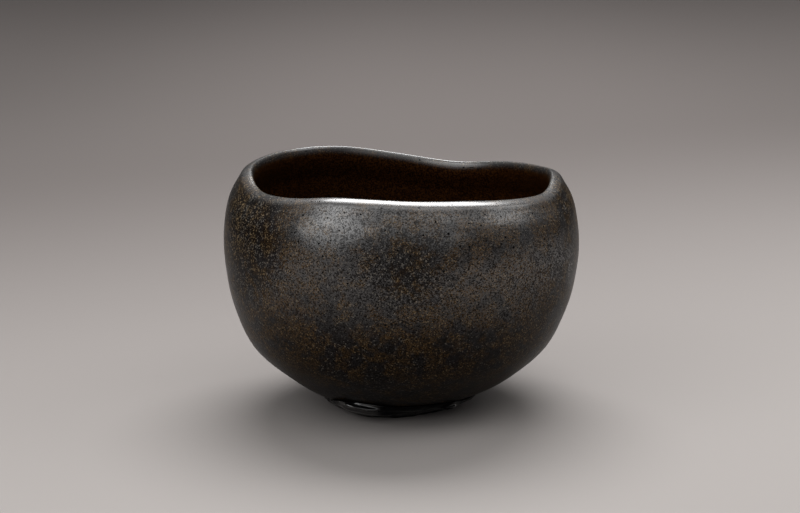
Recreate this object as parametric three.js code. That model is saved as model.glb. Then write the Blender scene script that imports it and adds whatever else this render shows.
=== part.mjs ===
// A hand-formed black raku tea bowl: one lump of fired clay with its foot carved from the
// same lump, and the four areas of glaze that are brushed and fired on it.
// Millimetres, +Z up, the origin under the middle of the body on the surface it stands on.
// The side with the low, level lip faces -Y.
import * as THREE from "three";

// Fired thicknesses
const glazeThickness = 0.8;
const lipWall = 5.6; // clay and glaze together, just under the lip
const floorWall = 7.4; // clay and glaze together, where the wall meets the floor
const bond = 0.3; // the clearance kept between glaze and clay
const seam = 0.3; // the clearance kept where two areas of glaze meet
const toClay = glazeThickness + bond;

// The outside of the wall, from the foot to the shoulder: [radius, height]
const wallStations = [
  [24.8, 3.8],
  [31.5, 6.9],
  [39.5, 12.0],
  [50.3, 22.0],
  [56.3, 35.0],
  [59.1, 47.0],
  [60.0, 58.0],
  [58.6, 68.5],
  [55.4, 75.0],
];
// The crest of the lip, before it is shaped by hand
const crestRadius = 51.0;
const crestHeight = 78.1;
const lipRound = 1.2; // how far the lip swells past a straight bevel

// The inside floor and its tea pool
const floorHeight = 12.2;
const poolRadius = 15;
const poolDepth = 1.1;
const poolSlopeShare = 0.85; // the share of the pool's depth that is reached half-way in

// The carved foot
const contactInside = 14.6;
const contactOutside = 18.6;
const footTopRadius = 21.6;
const footTopHeight = 3.4;
const edgeRound = 0.7;
const recessRadius = 13.2;
const recessDepth = 6.0;
const recessCorner = 1.6;

// The roll of glaze round the foot, which also laps over the underside of the wall
const rollLift = 0.2; // its clearance above the surface the bowl stands on
const rollThickness = 1.3;
const bottomShare = 0.7; // the share of the thickness that the roll has where it stands
const lapRadius = 28.5;
const lapClear = 0.45; // how far the lap lies below the underside
const lapEdge = 0.5; // how far the lap's rim stands out below that
const lapBelly = 1.0; // and half-way in
// How the glaze pooled as it ran down. Twelve stations, every 30 degrees from +X towards +Y:
// [extra thickness of the roll, extra reach of the lap]
const pooled = [
  [0.9, -0.5],
  [0.5, -1.0],
  [0.2, -1.5],
  [0.1, -1.0],
  [0.1, -1.5],
  [0.1, -2.2],
  [0.1, -3.0],
  [1.7, -2.9],
  [4.3, 5.9],
  [3.3, 3.0],
  [1.0, 3.6],
  [1.5, 0.7],
];

// The dab of glaze in the recess
const dabThickness = 0.8;
const dabMargin = 2.4;

// The lip rises and falls in low hills. Sixteen stations, every 22.5 degrees from +X towards
// +Y: [height of the crest, radius of the crest]
const lipStations = [
  [79.3, 50.2],
  [78.2, 50.3],
  [76.6, 50.5],
  [74.6, 51.0],
  [76.8, 51.3],
  [80.0, 51.6],
  [81.1, 51.6],
  [81.0, 50.9],
  [80.1, 50.4],
  [76.4, 49.9],
  [77.3, 50.7],
  [79.5, 51.4],
  [79.1, 51.8],
  [78.4, 51.8],
  [76.9, 51.3],
  [76.2, 50.6],
];
const lipWaveFrom = 30; // the height where the wave of the lip starts
const mouthWaveFrom = 40; // the height where the mouth's own outline starts

// The foot and the underside stand a little to the left of the mouth
const leanShift = -0.65;
const leanFrom = 15;
const leanUpTo = 60;
const footShift = -1.2;
const footShiftFrom = 3.4;
const footShiftUpTo = 12;

// A shallow hollow pressed into the front by the thumbs
const hollow = { angle: THREE.MathUtils.degToRad(-92), height: 62.5, depth: 1.0, width: 11, tall: 13 };

const segments = 48;
const wallSamples = 3; // curve samples between two stations outside
const liningSamples = 2; // and inside

const { smoothstep } = THREE.MathUtils;
const at = (radius, height) => new THREE.Vector2(radius, height);

// The points of a smooth curve through the given ones, each span cut into equal steps
function through(points, steps) {
  return new THREE.SplineCurve(points).getPoints((points.length - 1) * steps);
}

// Each point moved across its path, to the left of the direction of travel. A point on the
// axis stays on it.
function beside(points, distanceAt) {
  return points.map((point, i) => {
    const before = points[Math.max(i - 1, 0)];
    const after = points[Math.min(i + 1, points.length - 1)];
    const along = after.clone().sub(before).normalize();
    const distance = distanceAt(i / (points.length - 1));
    const radius = point.x === 0 ? 0 : point.x - along.y * distance;
    return at(radius, point.y + along.x * distance);
  });
}

// The skin of the bowl: up the outside, over the lip and a little way down inside it, then on
// down to the middle of the floor. The two coats of glaze meet where the first part ends.
const wall = wallStations.map(([radius, height]) => at(radius, height));
const innerWall = beside(wall, (up) => floorWall + (lipWall - floorWall) * up);
const crest = at(crestRadius, crestHeight);
const [shoulder] = wall.slice(-1);
const [innerLip] = innerWall.slice(-1);
const halfway = (from, to) => from.clone().lerp(to, 1 / 2);
const lipOutside = halfway(shoulder, crest).add(at(lipRound / 2, lipRound / 2));
const lipInside = halfway(innerLip, crest).add(at(-lipRound / 2, lipRound / 2));
const [meeting, ...lowerWall] = innerWall.slice(1, -1).reverse();
const outerSkin = through([...wall, lipOutside, crest, lipInside, innerLip, meeting], wallSamples);
const innerSkin = through(
  [
    meeting,
    ...lowerWall,
    at(poolRadius, floorHeight),
    at(poolRadius / 2, floorHeight - poolDepth * poolSlopeShare),
    at(0, floorHeight - poolDepth),
  ],
  liningSamples,
);

const skin = [...outerSkin, ...innerSkin.slice(1)];
const glazeBack = beside(skin, () => glazeThickness);

function clayProfile() {
  return [
    at(0, recessDepth),
    at(recessRadius - recessCorner, recessDepth),
    at(recessRadius, recessDepth - recessCorner),
    at(contactInside, edgeRound),
    at(contactInside + edgeRound, 0),
    at(contactOutside - edgeRound, 0),
    at(contactOutside, edgeRound),
    at(footTopRadius, footTopHeight),
    ...beside(skin, () => toClay),
  ];
}

function outerGlazeProfile() {
  return [...outerSkin, ...glazeBack.slice(0, outerSkin.length).reverse(), outerSkin[0]];
}

function innerGlazeProfile() {
  const face = [...innerSkin];
  const back = glazeBack.slice(outerSkin.length - 1);
  const lowered = seam / face[0].distanceTo(face[1]);
  face[0] = face[0].clone().lerp(face[1], lowered);
  back[0] = back[0].clone().lerp(back[1], lowered);
  return [...back.reverse(), ...face];
}

// The foot's carved side: its radius at a height, and how much wider a gap is when it is
// measured level instead of across the slope
const footRise = footTopHeight - edgeRound;
const footFlare = footTopRadius - contactOutside;
const footSide = (height) => contactOutside + (footFlare * (height - edgeRound)) / footRise;
const sideClear = (bond * Math.hypot(footRise, footFlare)) / footRise;

// The height of the wall's underside at a radius
function underside(radius) {
  const i = Math.max(outerSkin.findIndex((point) => point.x > radius), 1);
  const [near, far] = [outerSkin[i - 1], outerSkin[i]];
  return near.y + ((far.y - near.y) * (radius - near.x)) / (far.x - near.x);
}

function footGlazeProfile() {
  const lapFrom = wall[0].x;
  const beneath = (radius, depth) => at(radius, underside(radius) - lapClear - depth);
  const belly = rollLift + footRise / 2;
  const face = through(
    [
      at(footSide(rollLift) + sideClear, rollLift),
      at(footSide(rollLift) + sideClear + rollThickness * bottomShare, rollLift),
      at(footSide(belly) + sideClear + rollThickness, belly),
      beneath((lapFrom + lapRadius) / 2, lapBelly),
      beneath(lapRadius - lapEdge / 2, lapEdge),
      beneath(lapRadius, 0),
    ],
    liningSamples,
  );
  const top = footTopHeight - bond;
  return [
    ...face,
    beneath((lapFrom + lapRadius) / 2, 0),
    beneath(lapFrom, 0),
    at(footSide(top) + sideClear, top),
    at(footSide(belly) + sideClear, belly),
    face[0],
  ];
}

function recessGlazeProfile() {
  const top = recessDepth - bond;
  const reach = recessRadius - dabMargin;
  return [
    at(0, top - dabThickness),
    at(reach - dabThickness, top - dabThickness),
    at(reach, top - dabThickness / 2),
    at(reach - dabThickness / 2, top),
    at(0, top),
  ];
}

// A smooth closed curve through values at even angles round the axis
function around(values) {
  const count = values.length;
  const value = (i) => values[((i % count) + count) % count];
  return (angle) => {
    const place = (((angle / (2 * Math.PI)) % 1) + 1) % 1 * count;
    const i = Math.floor(place);
    const t = place - i;
    const [a, b, c, d] = [value(i - 1), value(i), value(i + 1), value(i + 2)];
    const bend = 2 * a - 5 * b + 4 * c - d + t * (3 * (b - c) + d - a);
    return b + (t * (c - a + t * bend)) / 2;
  };
}

const lipRise = around(lipStations.map(([height]) => height - crestHeight));
const mouthReach = around(lipStations.map(([, radius]) => radius - crestRadius));
const rollExtra = around(pooled.map(([thickness]) => thickness));
const lapExtra = around(pooled.map(([, reach]) => reach));

// How far the thumbs pressed a point of the front inwards
function pressed(angle, radius, height) {
  const turn = Math.atan2(Math.sin(angle - hollow.angle), Math.cos(angle - hollow.angle));
  const across = (turn * radius) / hollow.width;
  const up = (height - hollow.height) / hollow.tall;
  return hollow.depth * Math.exp(-across * across - up * up) * smoothstep(radius, 0, crestRadius);
}

// The potter's hands: moves a point of the turned form to its place on the bowl.
function handShape(point) {
  const angle = Math.atan2(point.y, point.x);
  const radius = Math.hypot(point.x, point.y);
  const height = point.z;
  const reach = mouthReach(angle) * smoothstep(height, mouthWaveFrom, crestHeight);
  const share = radius === 0 ? 1 : (radius + reach - pressed(angle, radius, height)) / radius;
  const lean = leanShift * (1 - smoothstep(height, leanFrom, leanUpTo));
  const aside = footShift * (1 - smoothstep(height, footShiftFrom, footShiftUpTo));
  const rise = lipRise(angle) * smoothstep(height, lipWaveFrom, crestHeight);
  return point.set(point.x * share + lean + aside, point.y * share, height + rise);
}

// The kiln: the glaze round the foot is thicker where it pooled, on its outer face only, and
// its lap reaches further there, always at the same depth below the wall.
function poolOut(point) {
  const angle = Math.atan2(point.y, point.x);
  const radius = Math.hypot(point.x, point.y);
  const thickness = radius - footSide(point.z) - bond;
  const low = 1 - smoothstep(point.z, footTopHeight / 2, footTopHeight);
  const swollen = rollExtra(angle) * smoothstep(thickness, rollThickness / 4, rollThickness) * low;
  const lapped = lapExtra(angle) * Math.max((radius - wall[0].x) / (lapRadius - wall[0].x), 0);
  const reach = radius + swollen + lapped;
  const lift = lapped === 0 ? 0 : underside(reach) - underside(radius);
  return handShape(point.set((point.x * reach) / radius, (point.y * reach) / radius, point.z + lift));
}

const clay = new THREE.MeshStandardMaterial({ color: 0x6b5a4c, roughness: 0.9, metalness: 0 });
const satinGlaze = new THREE.MeshStandardMaterial({ color: 0x2c2620, roughness: 0.42, metalness: 0 });
const glossGlaze = new THREE.MeshStandardMaterial({ color: 0x0d0d0f, roughness: 0.12, metalness: 0 });

function turned(name, profile, material, shape = handShape) {
  const geometry = new THREE.LatheGeometry(profile, segments);
  geometry.rotateX(Math.PI / 2);
  const place = geometry.attributes.position;
  const point = new THREE.Vector3();
  for (let i = 0; i < place.count; i++) {
    shape(point.fromBufferAttribute(place, i));
    place.setXYZ(i, point.x, point.y, point.z);
  }
  geometry.computeVertexNormals();
  const mesh = new THREE.Mesh(geometry, material);
  mesh.name = name;
  return mesh;
}

const bowl = new THREE.Group();
bowl.add(
  turned("clay_body", clayProfile(), clay),
  turned("outer_glaze", outerGlazeProfile(), satinGlaze),
  turned("inner_glaze", innerGlazeProfile(), satinGlaze),
  turned("foot_glaze", footGlazeProfile(), glossGlaze, poolOut),
  turned("recess_glaze", recessGlazeProfile(), glossGlaze),
);

export default bowl;
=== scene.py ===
# A hand-formed black raku tea bowl: its fired clay, its speckled coat of glaze, and the glassy
# glaze pooled round its foot, standing on a pale studio floor.
import math

import bpy
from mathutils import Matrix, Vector
from mathutils.kdtree import KDTree


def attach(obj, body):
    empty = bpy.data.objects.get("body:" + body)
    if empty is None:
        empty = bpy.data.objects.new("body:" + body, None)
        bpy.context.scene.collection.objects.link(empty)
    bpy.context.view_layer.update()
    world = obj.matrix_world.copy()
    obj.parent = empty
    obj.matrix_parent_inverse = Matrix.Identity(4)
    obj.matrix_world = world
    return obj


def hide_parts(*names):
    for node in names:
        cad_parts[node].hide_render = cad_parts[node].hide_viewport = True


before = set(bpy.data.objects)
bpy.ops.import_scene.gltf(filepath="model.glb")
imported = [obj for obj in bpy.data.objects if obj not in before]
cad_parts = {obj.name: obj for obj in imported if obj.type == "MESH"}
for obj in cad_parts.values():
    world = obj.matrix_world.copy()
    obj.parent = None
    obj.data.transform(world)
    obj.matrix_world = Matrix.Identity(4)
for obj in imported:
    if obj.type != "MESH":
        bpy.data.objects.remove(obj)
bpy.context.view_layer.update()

# The clay body
# One lump of coarse, low-fired clay, formed by hand and then carved, with the foot ring cut from
# the same lump. It stays bare only where the foot stands and just inside its ring.
MM = 0.001
MERGE = 0.01 * MM


class Wire:
    """A shader socket that takes part in Python arithmetic: each operation adds its Math node."""

    def __init__(self, finish, socket):
        self.finish = finish
        self.socket = socket

    def combine(self, operation, first, second):
        return self.finish.node("ShaderNodeMath", {"operation": operation}, {0: first, 1: second})

    def __add__(self, other):
        return self.combine("ADD", self, other)

    def __radd__(self, other):
        return self.combine("ADD", other, self)

    def __sub__(self, other):
        return self.combine("SUBTRACT", self, other)

    def __rsub__(self, other):
        return self.combine("SUBTRACT", other, self)

    def __mul__(self, other):
        return self.combine("MULTIPLY", self, other)

    def __rmul__(self, other):
        return self.combine("MULTIPLY", other, self)


class Finish:
    """A material made of expressions, around one Principled shader."""

    def __init__(self, name, constants):
        self.material = bpy.data.materials.new(name)
        self.material.use_nodes = True
        self.tree = self.material.node_tree
        self.shader = self.tree.nodes["Principled BSDF"]
        self.wear(constants)
        self.place = self.node("ShaderNodeTexCoord", output="Object")

    def feed(self, socket, value):
        if isinstance(value, Wire):
            self.tree.links.new(value.socket, socket)
        elif socket.type == "RGBA":
            socket.default_value = (*value, 1)
        else:
            socket.default_value = value

    def node(self, kind, settings=None, sockets=None, output=0):
        """Adds a node, makes its settings, feeds its sockets and returns one of its outputs."""
        node = self.tree.nodes.new(kind)
        for name, value in (settings or {}).items():
            setattr(node, name, value)
        for key, value in (sockets or {}).items():
            self.feed(node.inputs[key], value)
        return Wire(self, node.outputs[output])

    def wear(self, sockets):
        for name, value in sockets.items():
            self.feed(self.shader.inputs[name], value)

    def noise(self, size, detail, roughness):
        """Soft noise from 0 to 1, with cloudlets of about that size and finer ones in them."""
        sockets = {"Vector": self.place, "Scale": 1 / size, "Detail": detail,
                   "Roughness": roughness}
        return self.node("ShaderNodeTexNoise", None, sockets)

    def between(self, value, low, high):
        """0 where the value is low or less, 1 where it is high or more, smooth in between."""
        return self.node("ShaderNodeMapRange", {"interpolation_type": "SMOOTHSTEP"},
                         {"Value": value, "From Min": low, "From Max": high})

    def mix(self, share, first, second):
        """The first colour, with a share of the second."""
        return self.node("ShaderNodeMix", {"data_type": "RGBA"}, {0: share, 6: first, 7: second}, 2)

    def relief(self, height, depth, below=None):
        """The surface normal over a height from 0 to 1, laid on the relief below."""
        sockets = {"Height": height, "Distance": depth}
        if below:
            sockets["Normal"] = below
        return self.node("ShaderNodeBump", None, sockets)


def select_only(*pieces):
    bpy.ops.object.select_all(action="DESELECT")
    for piece in pieces:
        piece.select_set(True)
    bpy.context.view_layer.objects.active = pieces[0]


def copy_of(node, name):
    """A node's solid as a piece of its own, with its loose triangles welded and paired."""
    piece = bpy.data.objects.new(name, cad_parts[node].data.copy())
    bpy.context.scene.collection.objects.link(piece)
    piece.data.materials.clear()
    select_only(piece)
    bpy.ops.object.mode_set(mode="EDIT")
    bpy.ops.mesh.select_all(action="SELECT")
    bpy.ops.mesh.remove_doubles(threshold=MERGE)
    bpy.ops.mesh.tris_convert_to_quads(face_threshold=math.pi, shape_threshold=math.pi)
    bpy.ops.object.mode_set(mode="OBJECT")
    return piece


def refine(piece, levels):
    """Rounds the facets by subdivision, and shades the piece smooth."""
    select_only(piece)
    rounding = piece.modifiers.new("rounding", "SUBSURF")
    rounding.levels = levels
    rounding.render_levels = levels
    bpy.ops.object.modifier_apply(modifier=rounding.name)
    bpy.ops.object.shade_smooth()


def swell(piece, rounds):
    """Splits each edge on an arc through its ends, so that the outline keeps its full size."""
    select_only(piece)
    bpy.ops.object.mode_set(mode="EDIT")
    bpy.ops.mesh.select_all(action="SELECT")
    for _ in range(rounds):
        bpy.ops.mesh.subdivide(number_cuts=1, smoothness=1.0)
    bpy.ops.object.mode_set(mode="OBJECT")
    bpy.ops.object.shade_smooth()


def lump(piece, size, height):
    """Moves the surface in and out by half the height, in soft lumps of about that size."""
    select_only(piece)
    lumps = bpy.data.textures.new(piece.name + "_lumps", "CLOUDS")
    lumps.noise_scale = size
    lumps.noise_depth = 1
    push = piece.modifiers.new("lumps", "DISPLACE")
    push.texture = lumps
    push.texture_coords = "LOCAL"
    push.strength = height
    bpy.ops.object.modifier_apply(modifier=push.name)


def place(piece, slot, *nodes):
    """The piece stands for those nodes, which it hides, and rides on the bowl. The slot is not
    used.
    """
    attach(piece, "root")
    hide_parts(*nodes)


CLAY_BUFF = (0.24, 0.165, 0.11)
CLAY_BROWN = (0.13, 0.078, 0.048)
CLAY_CLOUD = (9 * MM, 3.0, 0.5)
CLAY_RANGE = (0.38, 0.62)
GROG_DARK = (0.05, 0.035, 0.028)
GROG = (0.8 * MM, 3.0, 0.65)
GROG_DEPTH = 0.25 * MM
GROG_RANGE = (0.56, 0.7)
fired_clay = Finish("fired_clay", {"Roughness": 0.92, "Specular IOR Level": 0.3})
clay_cloud = fired_clay.between(fired_clay.noise(*CLAY_CLOUD), *CLAY_RANGE)
grog = fired_clay.noise(*GROG)
clay_colour = fired_clay.mix(clay_cloud, CLAY_BROWN, CLAY_BUFF)
clay_colour = fired_clay.mix(fired_clay.between(grog, *GROG_RANGE), clay_colour, GROG_DARK)
fired_clay.wear({"Base Color": clay_colour, "Normal": fired_clay.relief(grog, GROG_DEPTH)})
body = copy_of("clay_body", "fired_body")
refine(body, levels=1)
body.data.materials.append(fired_clay.material)
place(body, "fired_clay", "clay_body")

# The glaze coat
# Brushed on the inside and the outside, where the two coats melted into one over the lip. It
# cooled to a satin near-black, full of fine ochre crystals, with pinholes where gas came out.
SEAM = 0.45 * MM
RIM_STEPS = 90
COAT_LUMP = 26 * MM
COAT_LUMP_HEIGHT = 0.5 * MM
BLACK = (0.0022, 0.0012, 0.0006)
OCHRE = (0.056, 0.031, 0.011)
GOLD = (0.108, 0.076, 0.04)
TAN = (0.092, 0.084, 0.072)
ASH_GREY = (0.018, 0.0168, 0.018)
LINING_BLACK = (0.005, 0.0014, 0.0002)
LINING_BROWN = (0.03, 0.0105, 0.0016)
# Near-black painted shade inside the pinholes.
PIT_SHADE_BLACK = (0.0004, 0.0003, 0.0003)
CLOUD = (24 * MM, 3.0, 0.55)
PATCH = (5 * MM, 3.0, 0.6)
CRYSTAL = 0.35 * MM
CURD = (0.8 * MM, 2.0, 0.6)
CURD_DEPTH = 0.1 * MM
PIT_SPACING = 1.3 * MM
PIT_DEPTH = 0.25 * MM
PIT_RADIUS = 0.1
PIT_SPREAD = 0.16
PIT_EDGE = 0.1
PIT_CHANCE = 0.02
PIT_CHANCE_HIGH = 0.16


def mark(piece, name, weigh):
    """Gives each point of the piece a number under that name, for its glaze to read."""
    values = [weigh(vertex) for vertex in piece.data.vertices]
    layer = piece.data.attributes.new(name, "FLOAT", "POINT")
    layer.data.foreach_set("value", values)


def turn_of(vertex):
    """Where the point lies round the bowl, counted in steps of the rim."""
    return math.atan2(vertex.co.y, vertex.co.x) / math.tau * RIM_STEPS


def crest_of(piece):
    """The height of the lip's crest at each step of the rim."""
    crest = [0.0] * RIM_STEPS
    for vertex in piece.data.vertices:
        step = round(turn_of(vertex)) % RIM_STEPS
        crest[step] = max(crest[step], vertex.co.z)
    return crest


def under_crest(vertex, crest):
    """How far the point lies below the lip's crest, counted negative where it faces outward."""
    turn = turn_of(vertex)
    step = math.floor(turn)
    share = turn - step
    top = (1 - share) * crest[step % RIM_STEPS] + share * crest[(step + 1) % RIM_STEPS]
    down = max(0.0, top - vertex.co.z)
    return -down if vertex.normal.xy.dot(vertex.co.xy) > 0 else down


def weld_seam(first, second, reach):
    """Joins two coats into one piece and welds the edges where they come within reach."""
    for coat, other in ((first, second), (second, first)):
        tree = KDTree(len(other.data.vertices))
        for vertex in other.data.vertices:
            tree.insert(vertex.co, vertex.index)
        tree.balance()
        near = [tree.find(vertex.co)[2] < reach for vertex in coat.data.vertices]
        coat.data.vertices.foreach_set("select", near)
        coat.data.edges.foreach_set("select", [False] * len(coat.data.edges))
        coat.data.polygons.foreach_set("select", [False] * len(coat.data.polygons))
    select_only(first, second)
    bpy.ops.object.join()
    bpy.ops.object.mode_set(mode="EDIT")
    bpy.ops.mesh.select_mode(type="VERT")
    bpy.ops.mesh.remove_doubles(threshold=reach)
    bpy.ops.mesh.select_all(action="DESELECT")
    bpy.ops.mesh.select_interior_faces()
    bpy.ops.mesh.delete(type="FACE")
    bpy.ops.object.mode_set(mode="OBJECT")


def grains(finish, size):
    """Grains of about that size: the distance to the middle of each, and three random numbers."""
    sockets = {"Vector": finish.place, "Scale": 1 / size}
    middle = finish.node("ShaderNodeTexVoronoi", None, sockets, "Distance")
    colour = Wire(finish, middle.socket.node.outputs["Color"])
    numbers = finish.node("ShaderNodeSeparateColor", None, {"Color": colour}, "Red")
    return middle, *(Wire(finish, output) for output in numbers.socket.node.outputs)


def spots(finish, marks):
    """Marks in mm, as (middle, radius, strength): full strength in the middle, 0 at the radius."""
    total = 0.0
    for middle, radius, strength in marks:
        sockets = {0: finish.place, 1: tuple(MM * part for part in middle)}
        away = finish.node("ShaderNodeVectorMath", {"operation": "DISTANCE"}, sockets, "Value")
        total = total + strength * finish.between(away, radius * MM, 0.0)
    return total


DRY_SPOTS = (
    ((-54, -26, 66), 34, 1.5),
    ((2, -60, 60), 22, 0.5),
    ((56, -10, 70), 26, 0.9),
    ((52, -26, 43), 32, 0.45),
)
LINING_DEPTHS = (0.8 * MM, 3.2 * MM)
LINING_HEIGHTS = (34 * MM, 54 * MM)
LIP_OUTSIDE = (-3 * MM, -0.6 * MM)
LIP_INSIDE = (4 * MM, 1 * MM)
# Low on the wall, painted shade darkens the coat's colour between these heights.
LOW_SHADE_HEIGHTS = (5 * MM, 44 * MM)
PIT_HEIGHTS = (52 * MM, 68 * MM)
EVEN_HEIGHTS = (58 * MM, 70 * MM)
SATIN_HEIGHTS = (30 * MM, 62 * MM)
WARM_RANGE = (0.34, 0.66)
GILT_RANGE = (0.9, 1.0)
BROWN_RANGE = (0.3, 0.9)
CHANCE_RANGE = (-0.01, 0.01)
GLASSY_RANGE = (0.15, 0.7)
MOIST_RANGE = (0.8, 0.0)
DRY_BY_PATCH = 1.6
WARM_BY_PATCH = 1.6
BLOOM_BY_PATCH = 0.8
BLOOM_LOST_TO_LOW_SHADE = 0.7
BLOOM_LOST_DRY = 0.6
GILT_BY_DRY = 0.1
GILT_BY_PATCH = 0.15
GILT_LOST_TO_LOW_SHADE = 0.5
GLOSS_BY_PATCH = 0.2
GLOSS_LOST_DRY = 1.1
LIP_LOST_DRY = 0.6
LINING_LOST = 0.95
LEAST_GLOSS = 0.08
SHOULDER_LEAST_GLOSS = 0.26
SHOULDER_MOST_GLOSS = 0.91
LIP_GLOSS = 0.85
SATIN_ROUGHNESS = 0.35
ROUGH_BY_PATCH = 0.1
coat_glaze = Finish("satin_glaze", {"IOR": 1.12, "Coat Roughness": 0.27, "Coat IOR": 1.97})

# Where the point is: on the lip, inside below it, or low on the wall, where painted shade darkens
# the colour.
height = coat_glaze.node("ShaderNodeSeparateXYZ", None, {0: coat_glaze.place}, "Z")
under = coat_glaze.node("ShaderNodeAttribute", {"attribute_name": "under_crest"}, None, "Fac")
lining = coat_glaze.between(under, *LINING_DEPTHS) * coat_glaze.between(height, *LINING_HEIGHTS)
lip = coat_glaze.between(under, *LIP_OUTSIDE) * coat_glaze.between(under, *LIP_INSIDE)
painted_low_shade = 1 - coat_glaze.between(height, *LOW_SHADE_HEIGHTS)

# Its colour: ochre or grey crystals on black, some of them gilt, and a brown lining, with painted
# shade low on the wall.
cloud = coat_glaze.noise(*CLOUD)
patch = coat_glaze.noise(*PATCH) - 0.5
dry = spots(coat_glaze, DRY_SPOTS) * (1 + DRY_BY_PATCH * patch)
warmth = coat_glaze.between(cloud + WARM_BY_PATCH * patch, *WARM_RANGE)
_, gloss, tint, rare = grains(coat_glaze, CRYSTAL)
bloom = tint * tint * (1 + BLOOM_BY_PATCH * patch)
# Painted shade: fewer ochre crystals low on the wall.
bloom = bloom * (1 - BLOOM_LOST_TO_LOW_SHADE * painted_low_shade) * (1 - BLOOM_LOST_DRY * dry)
coat_colour = coat_glaze.mix(bloom, BLACK, coat_glaze.mix(warmth, ASH_GREY, OCHRE))
gilt = coat_glaze.between(rare + GILT_BY_DRY * dry + GILT_BY_PATCH * patch, *GILT_RANGE)
# Painted shade: fewer gilt crystals low on the wall.
gilt = gilt * (1 - GILT_LOST_TO_LOW_SHADE * painted_low_shade)
coat_colour = coat_glaze.mix(gilt, coat_colour, coat_glaze.mix(warmth, TAN, GOLD))
brown = coat_glaze.mix(coat_glaze.between(tint, *BROWN_RANGE), LINING_BLACK, LINING_BROWN)
coat_colour = coat_glaze.mix(lining, coat_colour, brown)

# Pinholes, most of them on the shoulder, painted near-black as painted shade in the holes. Their
# radius is a share of their spacing.
pit_zone = coat_glaze.between(height, *PIT_HEIGHTS) * (1 - lining)
middle, chance, width, _ = grains(coat_glaze, PIT_SPACING)
radius = PIT_RADIUS + PIT_SPREAD * width
pits = 1 - coat_glaze.between(middle, radius, radius + PIT_EDGE)
share = PIT_CHANCE + PIT_CHANCE_HIGH * pit_zone
pits = pits * coat_glaze.between(share - chance, *CHANCE_RANGE)
coat_colour = coat_glaze.mix(pits, coat_colour, PIT_SHADE_BLACK)

# Its gloss: some crystals glassy and some dull, more even on the shoulder, glassy on the lip.
curd = coat_glaze.noise(*CURD)
glassy = gloss + GLOSS_BY_PATCH * patch - GLOSS_LOST_DRY * dry
even = coat_glaze.between(height, *EVEN_HEIGHTS) * coat_glaze.between(dry, *MOIST_RANGE)
least = LEAST_GLOSS + (SHOULDER_LEAST_GLOSS - LEAST_GLOSS) * even
most = 1 - (1 - SHOULDER_MOST_GLOSS) * even
melted = least + (most - least) * coat_glaze.between(glassy, *GLASSY_RANGE)
melted = melted + lip * (1 - LIP_LOST_DRY * dry) * (LIP_GLOSS - melted)
satin = LEAST_GLOSS + (1 - LEAST_GLOSS) * coat_glaze.between(height, *SATIN_HEIGHTS)
coat_glaze.wear({
    "Base Color": coat_colour,
    "Roughness": SATIN_ROUGHNESS + ROUGH_BY_PATCH * patch,
    "Coat Weight": melted * satin * (1 - pits) * (1 - LINING_LOST * lining),
    "Normal": coat_glaze.relief(1 - pits, PIT_DEPTH, coat_glaze.relief(curd, CURD_DEPTH)),
})

coat = copy_of("outer_glaze", "glaze_coat")
lining_coat = copy_of("inner_glaze", "lining_coat")
weld_seam(coat, lining_coat, SEAM)
swell(coat, rounds=2)
lump(coat, COAT_LUMP, COAT_LUMP_HEIGHT)
crest = crest_of(coat)
mark(coat, "under_crest", lambda vertex: under_crest(vertex, crest))
coat.data.materials.append(coat_glaze.material)
place(coat, "satin_glaze", "outer_glaze", "inner_glaze")

# The glaze round the foot and in its recess
# It ran down while it was molten and pooled, so it is thick there and cooled to a black glass
# with a wavy face. The dab in the recess was put on with one touch of the brush.
POOL_LUMP = 5 * MM
POOL_LUMP_HEIGHT = 0.5 * MM
POOL_LIFT = 0.1 * MM
GLASS_BLACK = (0.001, 0.0008, 0.0008)
GLASS_BLUE = (0.002, 0.0022, 0.003)
POOL_CLOUD = (7 * MM, 3.0, 0.5)
POOL_WAVE = (2.6 * MM, 2.0, 0.5)
POOL_WAVE_DEPTH = 0.3 * MM
GLOSS_SPOTS = (((-14.5, -29.0, 5.5), 12, 1), ((16.5, -23.0, 4.5), 5, 1))
FOLDS = (
    ((-17.5, 7.2), (-8.0, 5.6), 0.8, 2.0),
    ((-17.5, 5.2), (-6.0, 3.2), 1.3, 3.2),
    ((13.5, 4.2), (17.0, 4.6), 0.9, 2.4),
)
FOLD_END = 1.2
FOLD_END_STEEPNESS = 6
POOL_RANGE = (0.4, 0.7)
FLASH_RANGE = (0.1, 0.6)
POOL_LEAST_GLOSS = 0.02
POOL_ROUGHNESS = 0.1
ROUGH_BY_DEPTH = 0.1


def fold(piece, first, last, size, reach):
    """Pushes a ridge of that size and reach out of the front, between two (x, z), all in mm."""
    for vertex in piece.data.vertices:
        across, along, rise = vertex.co / MM
        share = (across - first[0]) / (last[0] - first[0])
        if along > 0:
            continue
        ridge = first[1] + share * (last[1] - first[1])
        off = (rise - ridge) / size
        ends = 1 / (1 + (abs(2 * share - 1) / FOLD_END) ** FOLD_END_STEEPNESS)
        out = reach * ends * math.exp(-off * off)
        vertex.co.xy += out * MM * vertex.co.xy.normalized()


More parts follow.
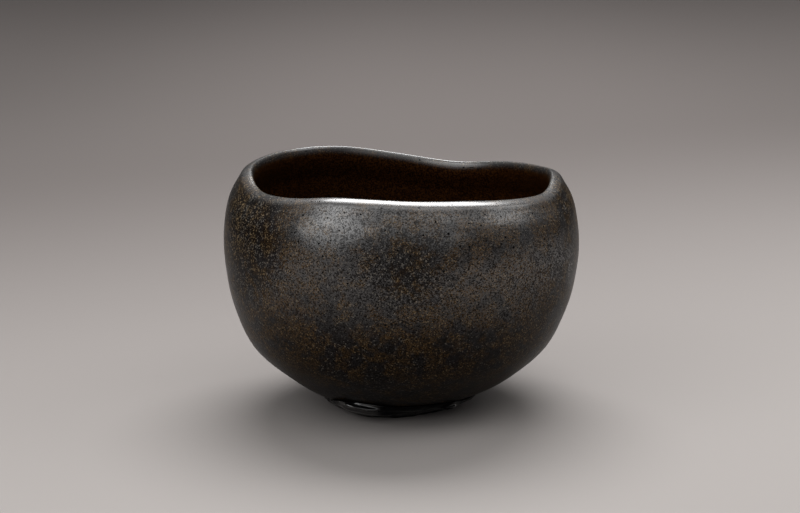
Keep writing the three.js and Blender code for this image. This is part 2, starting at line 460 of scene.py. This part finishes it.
pool_glaze = Finish("gloss_glaze", {"IOR": 1.1, "Coat Roughness": 0.08, "Coat IOR": 1.8})
depth = pool_glaze.between(pool_glaze.noise(*POOL_CLOUD), *POOL_RANGE)
wave = pool_glaze.noise(*POOL_WAVE)
flash = pool_glaze.between(spots(pool_glaze, GLOSS_SPOTS), *FLASH_RANGE)
pool_glaze.wear({
    "Base Color": pool_glaze.mix(depth, GLASS_BLACK, GLASS_BLUE),
    "Roughness": POOL_ROUGHNESS + ROUGH_BY_DEPTH * depth,
    "Coat Weight": POOL_LEAST_GLOSS + (1 - POOL_LEAST_GLOSS) * flash,
    "Normal": pool_glaze.relief(wave, POOL_WAVE_DEPTH),
})
foot_pool = copy_of("foot_glaze", "foot_pool")
swell(foot_pool, rounds=3)
for first, last, size, reach in FOLDS:
    fold(foot_pool, first, last, size, reach)
recess_dab = copy_of("recess_glaze", "recess_dab")
refine(recess_dab, levels=3)
for pool, node in ((foot_pool, "foot_glaze"), (recess_dab, "recess_glaze")):
    lump(pool, POOL_LUMP, POOL_LUMP_HEIGHT)
    for vertex in pool.data.vertices:
        vertex.co.z = max(vertex.co.z, POOL_LIFT)
    pool.data.materials.append(pool_glaze.material)
    place(pool, "gloss_glaze", node)

# The studio
# A warm grey paper floor whose colour carries painted shade, darker far off, in the back corners
# and in front, with a painted shadow under the bowl. The room is brighter the higher one looks.
# One large soft light stands above and behind the bowl, with weaker ones all round.
FLOOR_NEAR = (0.262, 0.245, 0.235)
# The paper's colour where painted shade darkens it, far off and in front.
FLOOR_SHADED = (0.104, 0.093, 0.089)
# Black that the painted shade and the painted shadow mix into the paper.
PAINTED_SHADE_BLACK = (0, 0, 0)
FLOOR_SIZE = 12.0
FLOOR_SLANT = 0.45
FAR_RANGE = (-0.2, 0.55)
CORNER_RANGE = (0.1, 0.8)
LEFT_RANGE = (0.0, -0.3)
LEFT_SHADE = 0.28
RIGHT_RANGE = (0.1, 0.3)
RIGHT_SHADE = 0.1
FRONT_SHADE_RANGE = (-0.13, -0.5)
# A painted shadow under the bowl, as (middle in mm, radius in mm, strength).
PAINTED_SHADOW_UNDER_BOWL = (((8, 20, 0), 60, 0.6),)
ROOM_LOW = 0.06
ROOM_HIGH = 0.8
ROOM_TINT = (1.0, 0.985, 0.98, 1)
LAMP_AIM = Vector((0, 0, 0.05))
LAMPS = (
    ("overhead", (0.05, 0.66, 1.15), 1.15, 0.75, 24.6),
    ("overhead_front", (0.22, -0.6, 1.3), 1.8, 0.9, 4.4),
    ("left", (-0.95, -0.85, 0.6), 1.5, 1.1, 7.2),
    ("left_high", (-0.85, -0.46, 0.92), 0.9, 0.6, 1.7),
    ("right_back", (1.05, 0.15, 0.9), 1.0, 0.6, 2.6),
    ("right_low", (1.15, -0.25, 0.22), 0.9, 0.6, 0.15),
    ("front", (0.1, -1.1, 0.4), 1.9, 0.7, 1.6),
)
bpy.ops.object.select_all(action="DESELECT")
bpy.ops.mesh.primitive_plane_add(size=FLOOR_SIZE)
floor = bpy.context.object
floor.name = "floor"
floor_paper = Finish("floor_paper", {"Roughness": 0.9, "Specular IOR Level": 0.1})
spot = floor_paper.node("ShaderNodeSeparateXYZ", None, {0: floor_paper.place})
across, along = (Wire(floor_paper, output) for output in spot.socket.node.outputs[:2])
# Painted shade: the paper darkens away from the bowl, in the back corners and towards the front.
far_shade = floor_paper.between(along - FLOOR_SLANT * across, *FAR_RANGE)
paper = floor_paper.mix(far_shade, FLOOR_NEAR, FLOOR_SHADED)
left = LEFT_SHADE * floor_paper.between(across, *LEFT_RANGE)
right = RIGHT_SHADE * floor_paper.between(across, *RIGHT_RANGE)
corner_shade = floor_paper.between(along, *CORNER_RANGE) * (left + right)
paper = floor_paper.mix(corner_shade, paper, PAINTED_SHADE_BLACK)
paper = floor_paper.mix(floor_paper.between(along, *FRONT_SHADE_RANGE), paper, FLOOR_SHADED)
# Painted shadow: the paper is up to 60 percent darker under the bowl.
paper = floor_paper.mix(spots(floor_paper, PAINTED_SHADOW_UNDER_BOWL), paper, PAINTED_SHADE_BLACK)
floor_paper.wear({"Base Color": paper})
floor.data.materials.append(floor_paper.material)

room = bpy.data.worlds.new("studio")
bpy.context.scene.world = room
room.use_nodes = True
look = room.node_tree.nodes.new("ShaderNodeTexCoord")
rise = room.node_tree.nodes.new("ShaderNodeSeparateXYZ")
ramp = room.node_tree.nodes.new("ShaderNodeMapRange")
ramp.interpolation_type = "SMOOTHSTEP"
ramp.inputs["To Min"].default_value = ROOM_LOW
ramp.inputs["To Max"].default_value = ROOM_HIGH
room.node_tree.links.new(look.outputs["Generated"], rise.inputs[0])
room.node_tree.links.new(rise.outputs["Z"], ramp.inputs["Value"])
room.node_tree.links.new(ramp.outputs[0], room.node_tree.nodes["Background"].inputs["Strength"])
room.node_tree.nodes["Background"].inputs["Color"].default_value = ROOM_TINT

for name, location, wide, tall, watts in LAMPS:
    light = bpy.data.lights.new(name, "AREA")
    light.shape = "ELLIPSE"
    light.size = wide
    light.size_y = tall
    light.energy = watts
    lamp = bpy.data.objects.new(name, light)
    bpy.context.scene.collection.objects.link(lamp)
    lamp.location = location
    lamp.rotation_euler = (LAMP_AIM - lamp.location).to_track_quat("-Z", "Y").to_euler()

# The camera
# It looks straight at the front, from a little above, through a long lens.
CAMERA_AIM = Vector((-0.55 * MM, 0, 50.26 * MM))
CAMERA_DISTANCE = 752.8 * MM
CAMERA_PITCH = math.radians(12.29)
SENSOR_WIDTH = 36.0
FOCAL_LENGTH = 100.3
lens = bpy.data.cameras.new("camera")
lens.sensor_width = SENSOR_WIDTH
lens.lens = FOCAL_LENGTH
camera = bpy.data.objects.new("camera", lens)
bpy.context.scene.collection.objects.link(camera)
back = Vector((0, -math.cos(CAMERA_PITCH), math.sin(CAMERA_PITCH)))
camera.location = CAMERA_AIM + CAMERA_DISTANCE * back
camera.rotation_euler = (math.pi / 2 - CAMERA_PITCH, 0, 0)
bpy.context.scene.camera = camera
bpy.context.scene.view_settings.view_transform = "Standard"
